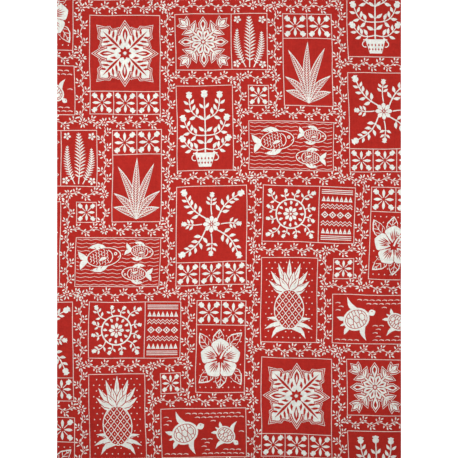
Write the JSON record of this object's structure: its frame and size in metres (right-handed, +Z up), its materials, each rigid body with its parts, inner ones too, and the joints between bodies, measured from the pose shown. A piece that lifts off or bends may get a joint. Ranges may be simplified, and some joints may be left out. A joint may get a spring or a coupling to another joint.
{
  "type": "hawaiian quilt print cotton cloth",
  "caption": "Flat rectangular cut length of plain-weave cotton printed in white on red with a patchwork of leafy quilt blocks, lying face up with a few low swells.",
  "frame": {"origin": "on the surface that the cloth lies on, under the middle of the cloth", "axes": "+Z up out of the printed face, +Y along the cloth's length, towards the edge that is at the top of the picture, +X across its width"},
  "size_m": [0.48, 0.64, 0.0034],
  "materials": {
    "printed_cotton": "matt plain-weave cotton, red ground with a white print"
  },
  "bodies": {
    "root": {"cloth": "printed_cotton"}
  },
  "joints": []
}
